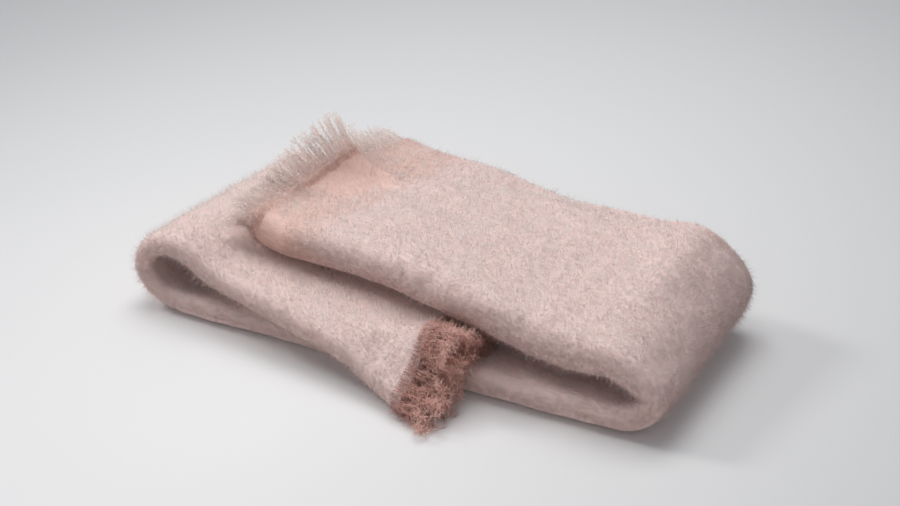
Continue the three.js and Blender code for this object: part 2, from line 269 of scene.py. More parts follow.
# Shares of the cloth's face, of its own ribbon and of its own way in how a hair is shaded
SHADE_FACE, SHADE_RIBBON, SHADE_WAY = 0.80, 0.14, 0.12
# This near to the top ply's free edge, a hair is shaded as the ply's upper face is, and given the
# pale tone of an upward face: painted light over the shade of the gap there
FREE_EDGE = 0.012
# Tone of a hair, from dull (0) to pale (1): paler where it faces up, which is painted light on the
# lit tops, or where it stands in a clump, and duller at the bare end
TONE, TONE_UP_PAINTED_LIGHT, TONE_CLUMP, TONE_SPREAD, TONE_BARE = 0.30, 0.36, 0.08, 0.09, 0.3

# Pieces of the pile, each over a stretch of the band
PILE_PIECES = (
    ("pile_upper_end", -1, 0.20),
    ("pile_upper_middle", 0.20, 0.42),
    ("pile_upper_far", 0.42, 0.64),
    ("pile_right_fold", 0.64, 0.90),
    ("pile_bottom_layer", 0.90, 1.40),
    ("pile_left_fold", 1.40, 1.62),
    ("pile_lower_flap", 1.62, 9),
)

# Near the end of the top flap the nap turns round, towards the fringe
NAP_TURNS_AT = 0.045

# The end of the top flap is nearly bare, so that its woven ground shows: how far, along the
# band, at distances across it
BARE_END = (
    (-0.190, 0.080),
    (-0.172, 0.052),
    (-0.149, 0.017),
    (-0.117, 0.004),
    (-0.090, 0.008),
    (-0.072, 0.030),
    (-0.050, 0.066),
    (-0.018, 0.084),
    (0.010, 0.106),
    (0.040, 0.060),
    (0.080, 0.022),
)
# The pile comes in over a run that ends this far past that line
BARE_PAST, BARE_RUN = 0.012, 0.028
# On the plies below the top one, behind this place across the band, it is only this long
BARE_BELOW, BARE_BELOW_FROM = 0.004, -0.16

# Colours, as linear red, green and blue
GROUND_DEEP = (0.62, 0.39, 0.35)
GROUND_PALE = (0.78, 0.58, 0.54)
WARP_DEEP = (0.68, 0.42, 0.355)
WARP_PALE = (0.78, 0.53, 0.46)
HAIR_ROOT = (0.72, 0.545, 0.505)
HAIR_TIP_DULL = (0.74, 0.55, 0.495)
# Near grey-white tips: partly the pile's own pale tips, partly painted sheen of the lit tops
HAIR_TIP_PALE_AND_PAINTED_SHEEN = (0.83, 0.84, 0.835)
# Upper fringe: the yarn's own pale pink, lifted nearly to white as painted backlight, with darker
# roots as painted shade on the turned-up end's inner side
YARN_ROOT_PAINTED_SHADE = (0.88, 0.65, 0.58)
YARN_DULL_PAINTED_LIGHT = (0.96, 0.81, 0.76)
YARN_PALE_PAINTED_LIGHT = (0.99, 0.92, 0.89)
# Lower fringe: the same yarn, deeper pink where its frizz is denser and darker still as painted
# shade, for it lies in the throw's shade
FRIZZ_ROOT_PAINTED_SHADE = (0.58, 0.30, 0.25)
FRIZZ_DULL_PAINTED_SHADE = (0.70, 0.39, 0.33)
FRIZZ_PALE_PAINTED_SHADE = (0.88, 0.61, 0.54)

# Warp lines about 2.4 mm apart: the wave texture has this scale over the cloth's UV map
WARP_SCALE = 355.0
# Where they give way to the felted ground, along that map
WARP_SHOWS = (0.045, 0.075)

# Share of the light that the hairs and the yarns let through
HAIR_LETS_THROUGH = 0.42
YARN_LETS_THROUGH = 0.70

# The camera, fitted to the photograph: degrees, metres, and pixels of the photograph
AZIMUTH, ELEVATION, LEAN = 30.28, 28.12, -3.05
CAMERA_AIM, CAMERA_DISTANCE = (-0.02162, 0.08254, 0.060), 3.0
FOCAL_LENGTH_PX, PHOTO_WIDTH_PX = 2053.8, 900
SENSOR_WIDTH = 36

# The floor: half its side, where its painted pool of light is and how it fades, and its tones
# from far off to the middle of that painted pool
FLOOR_HALF = 6
PAINTED_POOL_SHIFT, PAINTED_POOL_SCALE = (0.062, 0.150, 0), (0.62, 0.43, 0.43)
FLOOR_PAINTED_POOL_TONES = (
    (0.0, (0.350, 0.355, 0.364)),
    (0.2, (0.430, 0.435, 0.444)),
    (0.42, (0.545, 0.551, 0.559)),
    (0.61, (0.640, 0.642, 0.647)),
    (0.8, (0.715, 0.713, 0.716)),
    (1.0, (0.765, 0.761, 0.763)),
)

# Lights: the way and distance to the key, then the name, place, aim, size, watts and colour of
# each
KEY_WAY, KEY_DISTANCE = (-1.2, -0.08, 1.0), 5.2
LIGHTS = (
    (
        "key",
        Vector(KEY_WAY).normalized() * KEY_DISTANCE,
        (0, 0, 0.05),
        1.05,
        84,
        (1, 0.99, 0.98),
    ),
    ("overhead", (-0.7, 1.2, 4.4), (0, 0, 0), 3.4, 140, (1, 1, 1)),
    ("front fill", (1.6, -3.0, 1.7), (0, 0, 0.05), 2.0, 10, (1, 0.985, 0.97)),
)
AIR_COLOUR, AIR_STRENGTH = (0.95, 0.96, 1, 1), 0.36


def smooth(x):
    """Eased step: 0 up to 0, and 1 from 1 on."""
    c = np.clip(x, 0, 1)
    return c * c * (3 - 2 * c)


def unit(v):
    """Vectors made 1 long."""
    return v / np.maximum(np.linalg.norm(v, axis=-1, keepdims=True), 1e-9)


def soft_noise(u, v, cell, seed):
    """Smooth noise between -1 and 1 over (u, v), its bumps about one cell wide."""
    side = 211
    lattice = np.random.default_rng(seed).uniform(-1, 1, (side, side))
    x, y = np.asarray(u) / cell + 37.3, np.asarray(v) / cell + 11.7
    i, j = np.floor(x).astype(int), np.floor(y).astype(int)
    fx, fy = smooth(x - i), smooth(y - j)

    def corner(a, b):
        return lattice[(i + a) % side, (j + b) % side]

    near = corner(0, 0) * (1 - fx) + corner(1, 0) * fx
    far = corner(0, 1) * (1 - fx) + corner(1, 1) * fx
    return near * (1 - fy) + far * fy


def trace_band():
    """Smooth curve through the rows of FOLDS, and the distance along it."""
    rows = np.array(FOLDS)
    rows = np.vstack([2 * rows[0] - rows[1], rows, 2 * rows[-1] - rows[-2]])
    t = np.arange(STEPS_PER_FOLD)[:, None] / STEPS_PER_FOLD
    stretches = []
    for i in range(1, len(rows) - 2):
        a, b, d, e = rows[i - 1 : i + 3]
        stretches.append(
            0.5
            * (
                2 * b
                + (d - a) * t
                + (2 * a - 5 * b + 4 * d - e) * t**2
                + (3 * b - a - 3 * d + e) * t**3
            )
        )
    trace = np.vstack([*stretches, rows[-2][None]])
    steps = np.linalg.norm(np.diff(trace[:, :3], axis=0), axis=1)
    return trace, np.concatenate([[0], np.cumsum(steps)])


TRACE, ALONG = trace_band()
BAND_LENGTH = ALONG[-1]


def band_at(along):
    """The columns of FOLDS at distances along the band, which runs straight on past its ends."""
    inside = np.clip(along, 0, BAND_LENGTH)
    found = {
        c: np.interp(inside, ALONG, TRACE[:, k]) for k, c in enumerate(FOLD_COLUMNS)
    }
    for k, c in enumerate("xyz"):
        first = (TRACE[1, k] - TRACE[0, k]) / ALONG[1]
        last = (TRACE[-1, k] - TRACE[-2, k]) / (ALONG[-1] - ALONG[-2])
        found[c] = found[c] + (along - inside) * np.where(along < 0, first, last)
    return found


def middle(along, across):
    """Middle surface of the band."""
    b = band_at(along)
    turn, roll = np.radians(b["turn"]), np.radians(b["roll"])
    x = b["x"] - np.sin(turn) * np.cos(roll) * across
    y = b["y"] + np.cos(turn) * np.cos(roll) * across
    z = b["z"] + np.sin(roll) * across
    z = z - b["hang"] * smooth((HANG_FROM_Y - y) / HANG_RUN)
    return np.stack(np.broadcast_arrays(x, y, z), -1)


def setback(along):
    """How far the top ply's free edge stops short of the ply below."""
    near = 1 - smooth(along / SETBACK_RUN)
    return TOP_EDGE_SETBACK_FAR + (TOP_EDGE_SETBACK - TOP_EDGE_SETBACK_FAR) * near


def ply_width(along, pitch):
    """Width of the flat part of a ply, once the three bends have taken their share."""
    bends = math.pi * (OUTER_BEND + 2 * INNER_BEND) * pitch
    return (CLOTH_WIDTH + setback(along) - bends) / PLIES


def section(along):
    """One section through the four plies at each row: distance across, and height in plies."""
    pitch = band_at(along)["pitch"]
    half = ply_width(along, pitch) / 2
    across, level = [], []

    def ply(start, end, height, count, rim=None):
        share = np.linspace(0, 1, count, endpoint=False)
        if rim == "start":
            share = np.concatenate([RIM_SHARES, share[1:]])
        if rim == "end":
            share = np.concatenate([share, 1 - np.array(RIM_SHARES)[::-1]])
        across.append(start + (end - start) * share)
        level.append(np.full_like(across[-1], height))

    def bend(edge, way, centre, radius, turn_way, count):
        angle = np.linspace(0, math.pi, count, endpoint=False)
        across.append(edge + way * radius * pitch * np.sin(angle))
        level.append(centre + turn_way * radius * np.cos(angle) + 0 * edge)

    ply(half - setback(along), -half, 1.5, TOP_PLY_COLUMNS, "start")
    bend(-half, -1, 0, OUTER_BEND, 1, OUTER_BEND_COLUMNS)
    ply(-half, half, -1.5, INSIDE_PLY_COLUMNS)
    bend(half, 1, -1, INNER_BEND, -1, INNER_BEND_COLUMNS)
    ply(half, -half, -0.5, HIDDEN_PLY_COLUMNS)
    bend(-half, -1, 0, INNER_BEND, -1, INNER_BEND_COLUMNS)
    ply(-half, half, 0.5, HIDDEN_PLY_COLUMNS, "end")
    return np.concatenate(across, 1), np.concatenate(level, 1)


def turn_up_angle(along, across, level):
    """Degrees that the top flap's end turns up."""
    width = ply_width(along, band_at(along)["pitch"])
    share = (across + width / 2) / (width - TOP_EDGE_SETBACK)
    table = np.array(TURN_UP)
    top = np.interp(share, table[:, 0], table[:, 1])
    below = np.minimum(TURN_UP_BELOW, top)
    return below + (top - below) * smooth((level + 1.5) / 3) ** TURN_UP_EASE


def place(along, across, level):
    """Points of the folded cloth's middle surface."""
    rear = smooth((across - TURN_UP_REAR_FROM) / TURN_UP_REAR_RUN)
    start = TURN_UP_AT_FRONT + (TURN_UP_AT_REAR - TURN_UP_AT_FRONT) * rear
    reach = np.maximum(start - along, 0)
    base = np.maximum(along, start)
    forward = unit(middle(base + NEARBY, across) - middle(base - NEARBY, across))
    sideways = middle(base, across + NEARBY) - middle(base, across - NEARBY)
    outward = unit(np.cross(forward, sideways))
    point = middle(base, across)
    point = point + outward * (level * band_at(along)["pitch"])[..., None]
    curve = np.radians(turn_up_angle(along, across, level)) / start
    turned = -forward * (np.sin(curve * reach) / curve)[..., None]
    turned = turned + outward * ((1 - np.cos(curve * reach)) / curve)[..., None]
    lip = LIP_HEIGHT * smooth((along - (BAND_LENGTH - LIP_RUN)) / LIP_RUN)
    lip = lip * smooth((level + 0.5) / 2)
    lip = lip * np.exp(-(((across - LIP_MIDDLE) / LIP_SPREAD) ** 2))
    return point + turned + outward * lip[..., None]


def row_positions():
    """Distances along the band of the grid's rows."""
    marks = [0.0]
    for up_to, rows in ROWS:
        end = min(up_to, BAND_LENGTH)
        marks.extend(np.linspace(marks[-1], end, rows + 1)[1:])
    return np.array(marks)


def differences(points, axis):
    """Central differences over the grid, one-sided at its edges."""
    pad = [(1, 1) if k == axis else (0, 0) for k in range(3)]
    wide = np.pad(points, pad, mode="edge")
    size = points.shape[axis]
    ahead = np.take(wide, range(2, size + 2), axis)
    return ahead - np.take(wide, range(size), axis)


def crease_height(along, across, level):
    """How far the creases lift the sheet's outer plies, or sink them."""
    height = 0 * across
    for row in CREASES:
        crease = dict(zip(CREASE_COLUMNS, row))
        turn = math.radians(crease["turn"])
        ahead, aside = along - crease["along"], across - crease["across"]
        lengthwise = ahead * math.cos(turn) + aside * math.sin(turn)
        wide = aside * math.cos(turn) - ahead * math.sin(turn)
        wide = wide + CREASE_BOW * lengthwise**2 / crease["reach"]
        far = (lengthwise / crease["reach"]) ** 2 + (wide / crease["spread"]) ** 2
        height = height + crease["height"] * np.exp(-far)
    return height * smooth((level + 0.2) / 1.4)


def from_rim(depth):
    """From 0 at a ply's rim to 1 where it has its full thickness."""
    return np.clip(depth / RIM_RUN, 0, 1)


def rounded(rim):
    """Thickness near a ply's rim, as a share of the full one."""
    return np.sqrt(1 - (1 - rim) ** 2 * RIM_THINNING)


class Folds:
    """The folded sheet as grids: its two faces, directions, and flat place of each point."""

    def __init__(self):
        self.along = row_positions()[:, None]
        across, level = section(self.along)
        self.level = level
        self.across = across
        self.middle = place(self.along + 0 * across, across, level)
        self.forward = unit(differences(self.middle, 0))
        self.sideways = unit(differences(self.middle, 1))
        self.out = unit(np.cross(self.sideways, self.forward))
        steps = np.linalg.norm(np.diff(self.middle, axis=1), axis=2)
        walked = np.concatenate([np.zeros((len(level), 1)), np.cumsum(steps, 1)], 1)
        self.flat_across = walked
        self.flat_along = self.along + 0 * across
        half = band_at(self.along)["pitch"] * PLY_SHARE / 2
        edge = np.minimum(walked, walked[:, -1:] - walked)
        end = np.minimum(self.flat_along, BAND_LENGTH - self.flat_along)
        rim = from_rim(np.minimum(edge, end))
        lift = crease_height(self.along, across, level)
        near_edge = smooth(1 - walked / EDGE_SINK_RUN) * (self.along > EDGE_SINK_FROM)
        lift = lift - EDGE_SINK * near_edge * smooth((level - 0.5) / 0.8)
        self.middle = self.middle + self.out * (lift * rim)[..., None]
        lumps = sum(
            height * soft_noise(self.flat_across, self.flat_along, cell, seed)
            for height, cell, seed in LUMPS
        )
        thick = (half * rounded(rim) + lumps * rim)[..., None]
        self.upper = self.middle + self.out * thick
        self.lower = self.middle - self.out * thick

    def shift(self, move):
        """Moves the sheet, and keeps it above the floor."""
        for grid in (self.middle, self.upper, self.lower):
            grid += move
            grid[..., 2] = np.maximum(grid[..., 2], 0)


def settle(folds):
    """Moves the folds onto the solid cloth, which stands on the floor over the origin."""
    low, high = (np.array(corner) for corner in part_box("throw_cloth"))
    faces = np.concatenate([folds.upper.reshape(-1, 3), folds.lower.reshape(-1, 3)])
    move = (low + high) / 2 - (faces.min(0) + faces.max(0)) / 2
    move[2] = 0
    folds.shift(move)


def link(name, data):
    piece = bpy.data.objects.new(name, data)
    bpy.context.scene.collection.objects.link(piece)
    return piece


def sheet_side(bm, grid, inward):
    """One face of the sheet: a grid of the bmesh's own, moved onto the folds. Gives its rim."""
    rows, columns = grid.shape[:2]
    made = bmesh.ops.create_grid(
        bm, x_segments=columns - 1, y_segments=rows - 1, size=0.5
    )
    verts = made["verts"]
    for vert, point in zip(verts, grid.reshape(-1, 3)):
        vert.co = point
    faces = list({face for vert in verts for face in vert.link_faces})
    if inward:
        bmesh.ops.reverse_faces(bm, faces=faces)
    edges = {edge for face in faces for edge in face.edges}
    return [edge for edge in edges if edge.is_boundary]


def make_cloth(folds):
    """The sheet, closed at its rims. Its flat shape fills each half of the UV map, once a side."""
    bm = bmesh.new()
    rims = sheet_side(bm, folds.upper, False) + sheet_side(bm, folds.lower, True)
    bmesh.ops.bridge_loops(bm, edges=rims)
    flat = bm.loops.layers.uv.new("OFBake")
    bm.verts.index_update()
    u = (folds.flat_across / folds.flat_across.max()).ravel()
    v = (folds.flat_along / BAND_LENGTH).ravel()
    for face in bm.faces:
        for loop in face.loops:
            side, k = divmod(loop.vert.index, u.size)
            loop[flat].uv = (0.01 + 0.48 * u[k] + 0.5 * side, 0.01 + 0.98 * v[k])
        face.smooth = True
    mesh = bpy.data.meshes.new("mohair_cloth")
    bm.to_mesh(mesh)
    bm.free()
    return link("mohair_cloth", mesh)


def mesh_of(name, points, faces, uv, normals):
    """A joined mesh of many small pieces from arrays, with one UV place and normal a point."""
    sides = faces.shape[1]
    a, b, c = (points[faces[:, k]] for k in range(3))
    inward = (np.cross(b - a, c - a) * normals[faces[:, 0]]).sum(1) < 0
    faces = np.where(inward[:, None], faces[:, ::-1], faces)
    mesh = bpy.data.meshes.new(name)
    mesh.vertices.add(len(points))
    mesh.vertices.foreach_set("co", points.astype(np.float32).ravel())
    mesh.loops.add(faces.size)
    mesh.loops.foreach_set("vertex_index", faces.astype(np.int32).ravel())
    mesh.polygons.add(len(faces))
    starts = np.arange(0, faces.size, sides, dtype=np.int32)
    mesh.polygons.foreach_set("loop_start", starts)
    layer = mesh.uv_layers.new(name="OFBake")
    layer.data.foreach_set("uv", uv[faces.ravel()].astype(np.float32).ravel())
    mesh.update(calc_edges=True)
    mesh.normals_split_custom_set_from_vertices(normals.astype(np.float32).tolist())
    return link(name, mesh)


def grid_faces(folds):
    """What each face of both sides of the sheet is like: its middle and corners, its area, the
    ways that it faces, that the ply's upper side faces and that the nap runs, its flat place,
    and its place in the folds."""
    parts = []
    for grid, sign in ((folds.upper, 1), (folds.lower, -1)):
        a, b = grid[:-1, :-1], grid[1:, :-1]
        c, d = grid[1:, 1:], grid[:-1, 1:]
        cross = np.cross(d - b, c - a) * sign * 0.5
        parts.append(
            {
                "corners": np.stack([a, b, c, d], 2).reshape(-1, 4, 3),
                "cross": cross.reshape(-1, 3),
                "nap": unit((b - a + c - d).reshape(-1, 3)),
                "face_up": folds.out[:-1, :-1].reshape(-1, 3),
                "u": folds.flat_across[:-1, :-1].ravel(),
                "v": folds.flat_along[:-1, :-1].ravel(),
                "across": folds.across[:-1, :-1].ravel(),
                "level": folds.level[:-1, :-1].ravel(),
            }
        )
    found = {k: np.concatenate([p[k] for p in parts]) for k in parts[0]}
    found["area"] = np.linalg.norm(found["cross"], axis=1)
    found["out"] = unit(found.pop("cross"))
    found["middle"] = found["corners"].mean(1)
    return found


def open_to_air(faces, cloth):
    """How far each face of the sheet is open, from 0 to 1, by feelers sent out from it."""
    mesh = cloth.data
    points = [v.co.copy() for v in mesh.vertices]
    tree = BVHTree.FromPolygons(points, [tuple(p.vertices) for p in mesh.polygons])
    feelers = unit(np.random.default_rng(5).normal(size=(FEELERS, 3)))
    found = np.zeros(len(faces["area"]))
    for k, (middle_point, out) in enumerate(zip(faces["middle"], faces["out"])):
        start = Vector(middle_point + out * FEELER_START)
        clear = 0
        for feeler in unit(feelers + out * FEELERS_LEAN):
            if start.z + feeler[2] * FEELER_REACH < 0:
                continue
            if tree.ray_cast(start, Vector(feeler), FEELER_REACH)[0] is None:
                clear += 1
        found[k] = clear / len(feelers)
    return found


def bareness(faces):
    """From 0 in full pile to 1 on the nearly bare end of the top flap."""
    table = np.array(BARE_END)
    reach = np.interp(faces["across"], table[:, 0], table[:, 1])
    reach = reach * smooth((faces["level"] + 1.1) / 1.6)
    below = (faces["across"] > BARE_BELOW_FROM) & (faces["level"] < 1)
    reach = np.where(below, BARE_BELOW, reach)
    return smooth((reach + BARE_PAST - faces["v"]) / BARE_RUN)


def hairs(faces, weight, count, form, seed):
    """Hairs as narrow ribbons, pointed at both ends, that lie along the nap in swirling locks."""
    rng = np.random.default_rng(seed)
    kinks = form["kinks"]
    share = weight / weight.sum()
    which = np.sort(rng.choice(len(share), count, p=share))
    s, t = rng.uniform(size=(2, count, 1))
    a, b, c, d = (faces["corners"][which, k] for k in range(4))
    point = (a * (1 - s) + d * s) * (1 - t) + (b * (1 - s) + c * s) * t
    out, nap = faces["out"][which], faces["nap"][which]
    u, v = faces["u"][which], faces["v"][which]
    nap = nap * np.where(v < NAP_TURNS_AT, -1, 1)[:, None]
    aside = np.cross(out, nap)
    swirl = sum(turn * soft_noise(u, v, cell, draw) for turn, cell, draw in SWIRLS)
    angle = swirl + rng.normal(0, form["stray"], count)
    clump = soft_noise(u, v, CLUMP_WIDTH, CLUMP_SEED)
    rise = np.radians(rng.normal(form["rise"], RISE_SPREAD, count))
    curl = CURL * np.sign(soft_noise(u, v, CURL_WIDTH, CURL_SEED))
    curl = curl + rng.normal(0, CURL_SPREAD, count)
    length = form["length"] * rng.uniform(*HAIR_LENGTHS, count) * (1 + CLUMP_LONGER * clump)
    width = form["width"] * rng.uniform(*HAIR_WIDTHS, count)
    roll = rng.normal(0, ROLL_SPREAD, count)
    path, sides, first = [point], [], None
    for k in range(kinks + 1):
        lift = rise - np.radians(HAIR_DROP) * k + rng.normal(0, LIFT_SPREAD, count)
        turned = angle + curl * k
        flat = nap * np.cos(turned)[:, None] + aside * np.sin(turned)[:, None]
        way = flat * np.cos(lift)[:, None] + out * np.sin(lift)[:, None]
        first = way if first is None else first
        point = point + way * (length / (kinks + 1))[:, None]
        path.append(point)
        side = unit(np.cross(out, way))
        side = side * np.cos(roll)[:, None] + out * np.sin(roll)[:, None]
        sides.append(side * (width * (1 - 0.25 * k) / 2)[:, None])
    if kinks:
        rows = [path[0]]
        for k in range(kinks):
            rows.extend([path[k + 1] + sides[k], path[k + 1] - sides[k]])
        rows.append(path[-1])
    else:
        rows = [path[1], path[0] + sides[0], path[0] - sides[0]]
    points = np.stack(rows, 1)
    points[..., 2] = np.maximum(points[..., 2], LOWEST_HAIR)
    own = unit(np.cross(rows[1] - rows[0], rows[2] - rows[0]))
    own = own * np.sign((own * out).sum(1))[:, None]
    at_edge = smooth(1 - u / FREE_EDGE)[:, None]
    broad = out * (1 - at_edge) + faces["face_up"][which] * at_edge
    shade = unit(broad * SHADE_FACE + own * SHADE_RIBBON + first * SHADE_WAY)
    # Painted light: hairs on upward faces, and near the top ply's free edge, get a paler tone
    painted_light_upward = np.maximum(out[:, 2], 0.8 * at_edge[:, 0])
    tone = TONE + TONE_UP_PAINTED_LIGHT * painted_light_upward + TONE_CLUMP * clump + rng.normal(0, TONE_SPREAD, count)
    tone = np.clip(tone - TONE_BARE * faces["bare"][which], 0.02, 0.97)
    steps = np.concatenate([[0], np.repeat(np.arange(1, kinks + 1), 2), [kinks + 1]])
    if not kinks:
        steps = np.array([0.9, 0.3, 0.3])
    uv = np.stack(
        np.broadcast_arrays(
            tone[:, None] + 0.01 * (np.arange(len(steps)) % 2),
            0.02 + 0.96 * steps[None] / (kinks + 1),
        ),
        -1,
    )
    pattern = [[0, 1, 2]]
    for k in range(1, kinks):
        j = 2 * k - 1
        pattern.extend([[j, j + 2, j + 1], [j + 1, j + 2, j + 3]])
    if kinks:
        pattern.append([2 * kinks - 1, 2 * kinks + 1, 2 * kinks])
    return {"points": points, "uv": uv, "shade": shade, "v": v, "pattern": np.array(pattern)}


def make_pile(faces, openness):
    """All the hairs of the pile, in pieces by their place along the band."""
    steep = 1 + MORE_ON_STEEP * (1 - np.abs(faces["out"][:, 2]))
    weight = faces["area"] * smooth(openness * OPENNESS_GAIN) * steep
    faces["bare"] = bareness(faces)
    rim = smooth(1 - faces["v"] / END_RIM)
    weight = weight * (1 - LESS_WHERE_BARE * faces["bare"] * (1 - rim)) * (1 + MORE_AT_RIM * rim)
    coats = (
        hairs(faces, weight, SHORT_HAIRS, SHORT_HAIR, 21),
        hairs(faces, weight, CURLED_HAIRS, CURLED_HAIR, 22),
        hairs(faces, weight, LOOSE_HAIRS, LOOSE_HAIR, 23),
    )
    made = []
    for name, start, end in PILE_PIECES:
        points, triangles, uv, shade = [], [], [], []
        base = 0
        for coat in coats:
            mine = np.nonzero((coat["v"] >= start) & (coat["v"] < end))[0]
            each = coat["points"].shape[1]
            first = base + np.arange(len(mine))[:, None, None] * each
            triangles.append((first + coat["pattern"][None]).reshape(-1, 3))
            points.append(coat["points"][mine].reshape(-1, 3))
            uv.append(coat["uv"][mine].reshape(-1, 2))
            shade.append(np.repeat(coat["shade"][mine], each, 0))
            base += len(mine) * each
        joined = [np.concatenate(part) for part in (points, triangles, uv, shade)]
        made.append(mesh_of(name, *joined))
    return made


def make_fringe(name, folds, row, sign, form):
    """Yarns left long at one end of the cloth, each a twist of strands with its own short hairs."""
    rng = np.random.default_rng(form["seed"])
    line = folds.middle[row]
    walked = np.concatenate([[0], np.cumsum(np.linalg.norm(np.diff(line, axis=0), axis=1))])
    crowd = 1 + form["crowd"] * (folds.level[row] > 0.6)
    step = np.diff(walked) * (crowd[1:] + crowd[:-1])
    at = np.linspace(0.002, 0.998, YARNS_PER_END) * step.sum()
    at = np.interp(at, np.concatenate([[0], np.cumsum(step)]), walked)
    at = at + rng.normal(0, YARN_JITTER, YARNS_PER_END)

    def pick(grid):
        return np.stack([np.interp(at, walked, grid[row][:, k]) for k in range(3)], 1)

    root, out, edge = pick(folds.middle), unit(pick(folds.out)), unit(pick(folds.sideways))
    away = unit(np.cross(edge, out))
    ahead = pick(folds.forward) * sign
    away = away * np.sign((away * ahead).sum(1))[:, None]
    level = np.interp(at, walked, folds.level[row])
    across = np.interp(at, walked, folds.across[row])
    lean = form["lean"] * soft_noise(at, at * 0, LEAN_BUNCH, form["seed"])
    lean = lean + rng.normal(0, LEAN_SPREAD, YARNS_PER_END)
    rise = RISE * soft_noise(at, at * 0, RISE_BUNCH, form["seed"] + 1)
    rise = rise + rng.normal(0, YARN_RISE_SPREAD, YARNS_PER_END)
    forth = np.interp(at, walked, -np.sign(np.gradient(folds.across[row])))
    fan = forth * np.interp(across, *np.array(form["fan"]).T)
    length = form["length"] * rng.uniform(*YARN_LENGTHS, YARNS_PER_END)
    length = length * (1 + LONGER * soft_noise(at, at * 0, LONGER_BUNCH, form["seed"] + 2))
    length = length * np.interp(across, *np.array(form["reach"]).T)
    share = np.linspace(0, 1, YARN_STEPS + 1)[None, :, None]
    reach = length[:, None, None] * share
    past_end = reach - YARN_OVERLAP * (1 - share)
    path = root[:, None] + away[:, None] * past_end
    thick = band_at(folds.along[row])["pitch"] * PLY_SHARE / 2
    held_up = smooth(1 - past_end / YARN_COMES_DOWN)
    laid_on = np.where(past_end < 0, rounded(from_rim(-past_end)), YARN_AT_RIM) * held_up
    path = path + out[:, None] * (laid_on * thick + YARN_CLEAR * held_up)
    path = path + edge[:, None] * reach * (share * (lean + fan)[:, None, None])
    path = path + out[:, None] * reach * share * rise[:, None, None]
    path[..., 2] -= YARN_GATHER * level[:, None] * share[..., 0] ** 2
    wave = rng.uniform(0, 6.28, (2, YARNS_PER_END, 1, 1))
    frizz = form["frizz"]
    swing = frizz * share * (np.sin(share * 11 + wave[0]) - np.sin(wave[0]))
    path = path + edge[:, None] * swing
    swing = frizz * share * (np.sin(share * 9 + wave[1]) - np.sin(wave[1]))
    path = path + out[:, None] * swing
    path[..., 2] = np.maximum(path[..., 2], LOWEST_YARN)
    parts = (strands(path, edge, out, rng), yarn_hairs(path, edge, out, rng, form))
    points, faces, uv, normals, base = [], [], [], [], 0
    for part in parts:
        points.append(part[0])
        faces.append(part[1] + base)
        uv.append(part[2])
        normals.append(part[3])
        base += len(part[0])
    joined = [np.concatenate(each) for each in (points, faces, uv, normals)]
    return mesh_of(name, *joined)


def strands(path, edge, out, rng):
    """Each yarn as flat strands that twist round its path and thin out towards its tip."""
    count, steps = path.shape[:2]
    share = np.linspace(0, 1, steps)[None, None, :, None]
    start = rng.uniform(0, 6.28, (count, 1, 1, 1))
    phase = np.arange(STRANDS)[None, :, None, None] * (2 * math.pi / STRANDS)
    turn = start + phase + share * rng.normal(TWIST, TWIST_SPREAD, (count, 1, 1, 1))
    spread = rng.uniform(0.55, 1.15, (count, STRANDS, 1, 1)) * (1 + 0.9 * share**3)
    ring = edge[:, None, None] * np.cos(turn) + out[:, None, None] * np.sin(turn)
    aside = out[:, None, None] * np.cos(turn) - edge[:, None, None] * np.sin(turn)
    middle_line = path[:, None] + ring * (YARN_RADIUS * 0.6 * spread)
    half = STRAND_WIDTH / 2 * (1 - 0.55 * share) * rng.uniform(0.8, 1.25, (count, STRANDS, 1, 1))
    half = half * np.where(share == 1, 0.15, 1)
    points = np.stack([middle_line - aside * half, middle_line + aside * half], 3)
    points[..., 2] = np.maximum(points[..., 2], LOWEST_STRAND)
    index = np.arange(points.size // 3).reshape(points.shape[:-1])
    a, b = index[:, :, :-1, 0], index[:, :, :-1, 1]
    c, d = index[:, :, 1:, 0], index[:, :, 1:, 1]
    faces = np.concatenate(
        [np.stack([a, b, c], -1).reshape(-1, 3), np.stack([b, d, c], -1).reshape(-1, 3)]
    )
    tone = np.clip(rng.normal(0.55, 0.13, (count, STRANDS, 1, 1)), 0.05, 0.95)
    uv = np.stack(
        np.broadcast_arrays(
            tone + 0.01 * np.arange(2)[None, None, None],
            0.04 + 0.92 * share + 0 * tone,
        ),
        -1,
    ).reshape(-1, 2)
    shade = unit(np.array(YARNS_FACE) + out[:, None, None] * 0.3 + ring * 0.3)
    normals = np.repeat(shade[:, :, :, None], 2, 3).reshape(-1, 3)
    return points.reshape(-1, 3), faces, uv, normals


